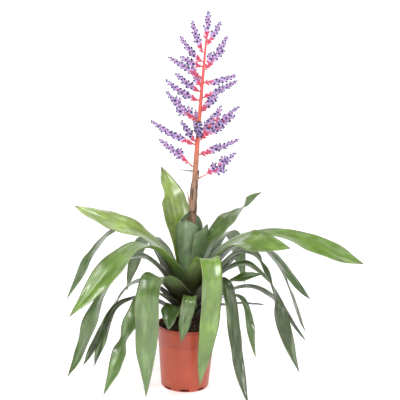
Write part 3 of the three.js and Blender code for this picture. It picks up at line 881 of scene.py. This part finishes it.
def add_branches():
    """All flower branches, in the order of their names, with one row of random draws."""
    chance = random.Random(FLOWER_SEED)
    for node in sorted(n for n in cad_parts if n.startswith("branch_")):
        add_branch(node, chance)


add_branches()

# ---------------------------------------------------------------- crown, soil and pot

# Outlines of turned bodies end this far from the axis
AXIS_GAP = 0.0002
CROWN_SIDES = 56
CROWN_STEPS = 46
CROWN_LEDGES = 12
SOIL_SIDES = 96
SOIL_SEED = 5
CLODS = 900
FIBRES = 60
POT_SIDES = 144

def add_crown():
    """Stumps of old leaf bases round the short stem, in overlapping rows."""
    low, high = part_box("crown")
    widest = high.x
    points, _ = corners_and_links("crown")
    shoulder = points[np.hypot(points[:, 0], points[:, 1]).argmax(), 2]
    tip_radius = np.hypot(*points[points[:, 2] > high.z - 0.1 * MM][:, :2].T).max()
    root_radius = np.hypot(*points[points[:, 2] < low.z + 0.1 * MM][:, :2].T).max()
    profile = [(AXIS_GAP, low.z), (root_radius * 0.9, low.z)]
    for i in range(CROWN_STEPS + 1):
        share = i / CROWN_STEPS
        ledge = 1 - (share * CROWN_LEDGES % 1) * 0.05
        radius = (widest + (tip_radius - widest) * share) * ledge
        profile.append((radius, shoulder + (high.z - shoulder) * share))
    profile.append((AXIS_GAP, high.z))
    corners, faces = turned(profile, CROWN_SIDES)
    rough = np.array([1 + 0.05 * noise.noise(Vector(c) * 130) for c in corners])
    corners[:, :2] *= rough[:, None]
    share = (corners[:, 2] - shoulder) / (high.z - shoulder)
    tints = blend(colour(58, 44, 34), colour(92, 96, 52), smooth(share, 0.0, 0.6))
    made = Shape()
    made.add(corners, faces, tints)
    made.piece("crown_fine", [BARK], "crown", "crown")


add_crown()


def soil_profile():
    """Radius and height of the CAD soil's inner edge, and of its outer one."""
    points, _ = corners_and_links("soil")
    radii = np.hypot(points[:, 0], points[:, 1])
    top = points[:, 2].max()
    inner = radii[points[:, 2] > top - 0.1 * MM].min()
    outer = radii.max()
    edge = points[radii > outer - 0.1 * MM, 2].max()
    return inner, top, outer, edge


def clod(chance):
    """A small angular lump of peat or bark."""
    rows, sides = 5, 7
    corners = [(0, 0, -1)]
    squash = Vector((chance.uniform(0.6, 1.5), chance.uniform(0.5, 1), chance.uniform(0.35, 0.8)))
    shift = chance.uniform(0, 50)
    for i in range(1, rows):
        tilt = math.pi * i / rows
        for j in range(sides):
            a = 2 * math.pi * (j + 0.5 * (i % 2)) / sides
            p = Vector((math.sin(tilt) * math.cos(a), math.sin(tilt) * math.sin(a), -math.cos(tilt)))
            p *= 1 + 0.55 * noise.noise(p * 1.3 + Vector((shift, 0, 0)))
            corners.append(tuple(p))
    corners.append((0, 0, 1))
    faces = [(0, 1 + (j + 1) % sides, 1 + j) for j in range(sides)]
    faces += [tuple(c + 1 for c in f) for f in grid_faces(rows - 1, sides)]
    last = 1 + (rows - 2) * sides
    faces += [(last + j, last + (j + 1) % sides, len(corners) - 1) for j in range(sides)]
    return np.array(corners) * np.array(squash), faces


def add_soil():
    """A rough mound of peat with lumps, fibres and a few pale specks."""
    inner, top, outer, edge = soil_profile()
    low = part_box("soil")[0].z

    def surface(r):
        return edge + (top - edge) * (1 - (r / outer) ** 2) / (1 - (inner / outer) ** 2)

    chance = random.Random(SOIL_SEED)
    rim = outer - 0.4 * MM
    floor = low + 4 * MM
    profile = [(AXIS_GAP, floor), (outer * 0.7, floor), (outer * 0.86, edge * 0.6), (rim, edge - 1 * MM)]
    below = len(profile)
    profile += [(rim * (1 - i / 40), surface(rim * (1 - i / 40)) - 0.8 * MM) for i in range(23)]
    corners, faces = turned(profile, SOIL_SIDES)
    lumpy = np.array([noise.noise(Vector(c) * 160) + 0.5 * noise.noise(Vector(c) * 420) for c in corners])
    corners[below * SOIL_SIDES:, 2] += 1.3 * MM * lumpy[below * SOIL_SIDES:]
    dark = colour(46, 32, 26)
    made = Shape()
    made.add(corners, faces, dark)
    for _ in range(CLODS):
        r = outer * math.sqrt(chance.uniform((inner / outer) ** 2 * 0.9, 0.94))
        a = chance.uniform(0, 2 * math.pi)
        size = chance.uniform(0.7, 2.1) * MM
        lump, lump_faces = clod(chance)
        turn = basis(unit(np.array([chance.gauss(0, 1) for _ in range(3)])), chance)
        place = np.array([r * math.cos(a), r * math.sin(a), surface(r) + 0.2 * size])
        pale = chance.random()
        tint = colour(120, 96, 78) if pale > 0.97 else blend(dark, colour(86, 60, 44), chance.random() ** 2)
        made.add(lump * size @ turn.T + place, lump_faces, tint)
    for _ in range(FIBRES):
        r = outer * math.sqrt(chance.uniform(0.25, 0.9))
        a, b = chance.uniform(0, 6.28), chance.uniform(0, 6.28)
        start = np.array([r * math.cos(a), r * math.sin(a), surface(r) + 0.5 * MM])
        way = np.array([math.cos(b), math.sin(b), 0.1])
        line = [start + way * s * MM + np.array([0, 0, 0.4 * MM * math.sin(s)]) for s in (0, 1.5, 3, 4.5)]
        corners, faces = tube(line, [0.25 * MM] * 4, 5)
        made.add(corners, faces, colour(96, 70, 50))
    made.piece("soil_fine", [EARTH], "soil", "soil")


add_soil()


POT_COLOUR = colour(178, 76, 52)
# Colour of the painted shade under the rim band and the stacking ledge
POT_PAINTED_SHADE = colour(132, 54, 40)
POT_BAND = 6 * MM
POT_LEDGE = 35 * MM
# How far above and below those corners the painted shade fades out
POT_PAINTED_SHADE_REACH = 1.6 * MM
POT_WALL = 1.6 * MM
POT_FLOOR = 2.4 * MM
POT_HEEL = 6 * MM
POT_PROUD = 1.2 * MM
POT_STEP = 0.6 * MM
POT_LIP = 0.7 * MM
POT_RIM_ROUND = 1.0 * MM
POT_CORNER = 0.5 * MM
POT_FILLET = 0.4 * MM
# Heights that the CAD pot's lower wall is looked for between
POT_FOOT_FROM = 5 * MM
POT_FOOT_TO = 14 * MM
SLOT_COUNT = 8
SLOT_HALF_LENGTH = 7 * MM
SLOT_RADIUS = 2 * MM
SLOT_HEIGHT = 4.6 * MM
SLOT_REACH = 12 * MM


def pot_material():
    """Moulded terracotta-coloured plastic: a faint mottling, fine level lines and an uneven sheen."""
    material, nodes, links, shader = new_material("pot_plastic")
    where = add_node(nodes, "ShaderNodeTexCoord")
    cloudy = add_node(nodes, "ShaderNodeTexNoise")
    cloudy.inputs["Scale"].default_value = 38
    cloudy.inputs["Detail"].default_value = 5
    links.new(where.outputs["Object"], cloudy.inputs["Vector"])
    tinted(nodes, links, shader, (cloudy.outputs["Fac"], 0.06))
    squeezed = add_node(nodes, "ShaderNodeMapping")
    squeezed.inputs["Scale"].default_value = (30, 30, 1800)
    links.new(where.outputs["Object"], squeezed.inputs["Vector"])
    lines = add_node(nodes, "ShaderNodeTexNoise")
    lines.inputs["Scale"].default_value = 1
    lines.inputs["Detail"].default_value = 2
    links.new(squeezed.outputs["Vector"], lines.inputs["Vector"])
    add_bump(nodes, links, shader, lines.outputs["Fac"], 0.0001, 0.35)
    sheen = add_node(nodes, "ShaderNodeMapRange")
    sheen.inputs["To Min"].default_value = 0.26
    sheen.inputs["To Max"].default_value = 0.4
    links.new(cloudy.outputs["Fac"], sheen.inputs["Value"])
    links.new(sheen.outputs["Result"], shader.inputs["Roughness"])
    return material


def arc(centre, radius, start, end, steps):
    """Points on part of a circle in a flat drawing, angles in degrees."""
    turns = np.radians(np.linspace(start, end, steps))
    return [(centre[0] + radius * math.cos(t), centre[1] + radius * math.sin(t)) for t in turns]


def pot_outline():
    """The pot's section from the middle below, over the rim, to the middle inside, and its foot radius."""
    points, _ = corners_and_links("pot")
    radii = np.hypot(points[:, 0], points[:, 1])
    height = points[:, 2].max()
    rim = radii.max()
    foot = radii[(points[:, 2] < POT_FOOT_TO) & (points[:, 2] > POT_FOOT_FROM)].max()
    heel, wall = POT_HEEL, POT_WALL
    slope = (rim - POT_PROUD - foot) / (height - heel)

    def outside(z):
        return foot + slope * (z - heel)

    high = height - POT_LEDGE
    band = height - POT_BAND
    narrow = outside(high) - POT_STEP
    profile = [(AXIS_GAP, POT_FLOOR)]
    profile += arc((outside(heel) - heel, POT_FLOOR + heel - wall), heel - wall, -90, 0, 8)
    profile += [(narrow - wall, high - 1.2 * MM), (outside(high) - wall, high - 0.2 * MM)]
    profile += [(outside(height - 2 * MM) - wall, height - 1.2 * MM)]
    profile += arc((outside(height) - wall + POT_LIP, height - POT_LIP), POT_LIP, 180, 90, 5)
    profile += arc((rim - POT_RIM_ROUND, height - POT_RIM_ROUND), POT_RIM_ROUND, 90, 0, 7)
    profile += arc((rim - POT_CORNER, band + POT_CORNER), POT_CORNER, 0, -90, 5)
    profile += arc((outside(band) + POT_FILLET, band - POT_FILLET), POT_FILLET, 90, 180, 5)
    under_band = band - 2.5 * MM
    profile += [(outside(under_band), under_band), (outside(high) + 0.1 * MM, high + 1.4 * MM)]
    profile += arc((outside(high) - POT_CORNER, high + 0.4 * MM), POT_CORNER, 0, -60, 5)
    profile += [(narrow, high - 1.3 * MM), (narrow, high - 3.5 * MM)]
    profile += [(outside(heel + 20 * MM) - POT_STEP * 0.5, heel + 20 * MM)]
    profile += arc((foot - heel, heel), heel, 0, -90, 9)
    profile += [(foot * 0.5, 0.0), (AXIS_GAP, 0.0)]
    return profile[::-1], foot


def pot_tints(heights):
    """Painted shade: darker in the corner under the rim band and under the stacking ledge, where shade
    falls.
    """
    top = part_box("pot")[1].z
    shade = np.zeros(len(heights))
    for drop in (POT_BAND, POT_LEDGE):
        shade = np.maximum(shade, np.exp(-(((heights - (top - drop)) / POT_PAINTED_SHADE_REACH) ** 2)))
    return blend(POT_COLOUR, POT_PAINTED_SHADE, 0.6 * shade)


def add_pot():
    """The pot, with drainage slots cut through its lower edge."""
    profile, foot = pot_outline()
    corners, faces = turned(profile, POT_SIDES)
    made = Shape()
    made.add(corners, faces, POT_COLOUR)
    pot = made.piece("pot_fine", [pot_material()], "pot", "pot")
    cutter_shape = Shape()
    outline = arc((SLOT_HALF_LENGTH, 0), SLOT_RADIUS, -90, 90, 9)
    outline += arc((-SLOT_HALF_LENGTH, 0), SLOT_RADIUS, 90, 270, 9)
    sides = len(outline)
    caps = [tuple(range(sides - 1, -1, -1)), tuple(range(sides, 2 * sides))]
    for i in range(SLOT_COUNT):
        a = i * 2 * math.pi / SLOT_COUNT - math.pi / 2
        out = np.array([math.cos(a), math.sin(a), 0])
        side = np.array([-math.sin(a), math.cos(a), 0])
        block = [
            out * (foot + reach) + side * x + np.array([0, 0, SLOT_HEIGHT + z])
            for reach in (-SLOT_REACH, SLOT_REACH)
            for x, z in outline
        ]
        cutter_shape.add(block, grid_faces(2, sides) + caps, (0, 0, 0))
    mesh = bpy.data.meshes.new("slot_cutter")
    mesh.from_pydata(cutter_shape.corners, [], cutter_shape.faces)
    cutter = bpy.data.objects.new("slot_cutter", mesh)
    bpy.context.scene.collection.objects.link(cutter)
    cut = pot.modifiers.new("drain_slots", "BOOLEAN")
    cut.object = cutter
    cut.operation = "DIFFERENCE"
    cut.solver = "EXACT"
    bpy.context.view_layer.update()
    result = bpy.data.meshes.new_from_object(pot.evaluated_get(bpy.context.evaluated_depsgraph_get()))
    heights = np.array([vertex.co.z for vertex in result.vertices])
    tints = np.ones((len(heights), 4))
    # The pot's tint: its own colour, with painted shade under the rim band and the ledge
    tints[:, :3] = pot_tints(heights)
    result.color_attributes["Tint"].data.foreach_set("color", tints.ravel())
    pot.modifiers.clear()
    pot.data = result
    bpy.data.objects.remove(cutter)


add_pot()

# ---------------------------------------------------------------- studio


SWEEP_FRONT = -6
SWEEP_BEND = 2.2
SWEEP_RADIUS = 1.2
SWEEP_TOP = 6
SWEEP_HALF_WIDTH = 7


def add_floor():
    """A pale sweep that rises behind the plant."""
    rows = [(SWEEP_FRONT, 0)]
    rows += arc((SWEEP_BEND, SWEEP_RADIUS), SWEEP_RADIUS, -90, 0, 12)
    rows.append((SWEEP_BEND + SWEEP_RADIUS, SWEEP_TOP))
    corners = [(x, y, z) for y, z in rows for x in (-SWEEP_HALF_WIDTH, SWEEP_HALF_WIDTH)]
    faces = [(2 * i, 2 * i + 1, 2 * i + 3, 2 * i + 2) for i in range(len(rows) - 1)]
    mesh = bpy.data.meshes.new("studio_sweep")
    mesh.from_pydata(corners, [], faces)
    mesh.shade_smooth()
    material, nodes, links, shader = new_material("studio_white")
    shader.inputs["Base Color"].default_value = (0.9, 0.9, 0.9, 1)
    shader.inputs["Roughness"].default_value = 0.9
    shader.inputs["Emission Color"].default_value = (1, 1, 1, 1)
    shader.inputs["Emission Strength"].default_value = 0.5
    mesh.materials.append(material)
    floor = bpy.data.objects.new("studio_sweep", mesh)
    bpy.context.scene.collection.objects.link(floor)


def add_light(name, place, aim, size, power):
    data = bpy.data.lights.new(name, "AREA")
    data.shape = "RECTANGLE"
    data.size, data.size_y = size
    data.energy = power
    light = bpy.data.objects.new(name, data)
    bpy.context.scene.collection.objects.link(light)
    light.location = place
    light.rotation_euler = (Vector(aim) - Vector(place)).to_track_quat("-Z", "Y").to_euler()


def add_lights():
    middle = (0, 0, 0.35)
    add_light("key", (-1.4, -1.8, 2.1), middle, (0.5, 1.1), 24)
    add_light("fill", (2.2, -1.4, 1.3), middle, (1.0, 1.6), 10)
    add_light("top", (0.2, 0.1, 2.6), middle, (1.6, 1.2), 14)
    add_light("front", (0.1, -2.5, 1.3), middle, (0.9, 0.7), 30)
    world = bpy.data.worlds.new("studio")
    world.use_nodes = True
    world.node_tree.nodes["Background"].inputs["Color"].default_value = (1, 1, 1, 1)
    world.node_tree.nodes["Background"].inputs["Strength"].default_value = 0.36
    bpy.context.scene.world = world
    bpy.context.scene.view_settings.view_transform = "Standard"


add_floor()
add_lights()
